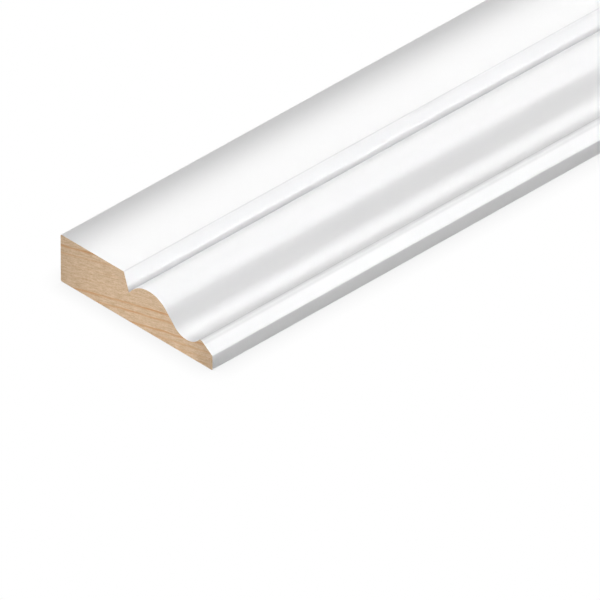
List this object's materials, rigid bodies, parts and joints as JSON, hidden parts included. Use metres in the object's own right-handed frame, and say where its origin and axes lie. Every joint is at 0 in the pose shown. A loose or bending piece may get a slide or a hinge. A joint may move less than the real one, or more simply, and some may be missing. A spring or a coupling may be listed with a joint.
{
  "type": "architrave moulding",
  "caption": "Long primed timber trim for a door or window opening, flat-backed, with a broad flat, a quirked ogee, a small bead and a chamfer that falls to a thin nose.",
  "frame": {"origin": "centre of the flat back, midway along the length and midway between the thick outer edge and the thin nose", "axes": "+X along the length, +Y from the thin nose towards the thick outer edge, +Z out of the flat back towards the moulded face"},
  "size_m": [2.1, 0.069, 0.018],
  "materials": {
    "primed_timber": "satin"
  },
  "bodies": {
    "root": {"architrave_moulding": "primed_timber"}
  },
  "joints": []
}
